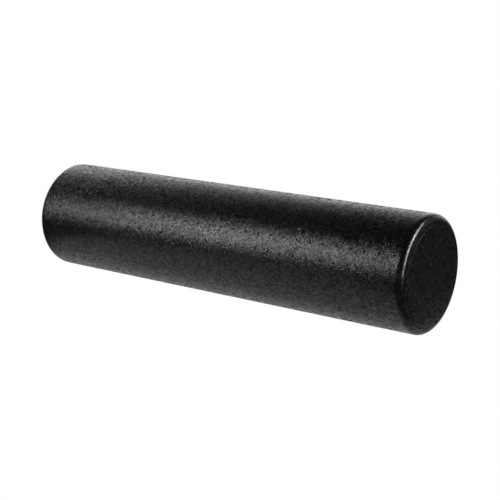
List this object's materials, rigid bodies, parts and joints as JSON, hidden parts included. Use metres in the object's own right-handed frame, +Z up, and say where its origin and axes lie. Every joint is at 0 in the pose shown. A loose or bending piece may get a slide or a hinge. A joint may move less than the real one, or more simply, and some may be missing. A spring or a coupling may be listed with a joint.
{
  "type": "foam roller",
  "caption": "Firm black moulded bead-foam massage roller, a solid cylinder with rounded edges and flat ends, for rolling out muscles on the floor.",
  "frame": {"origin": "on the ground under the middle of the roller, which lies on its side", "axes": "+X along the roller's axis, +Z up"},
  "size_m": [0.612, 0.1522, 0.1522],
  "materials": {
    "bead_foam": "black expanded polypropylene bead foam with a satin moulded skin, fine bead grain and small steam-vent marks"
  },
  "bodies": {
    "root": {"foam_body": "bead_foam"}
  },
  "joints": []
}
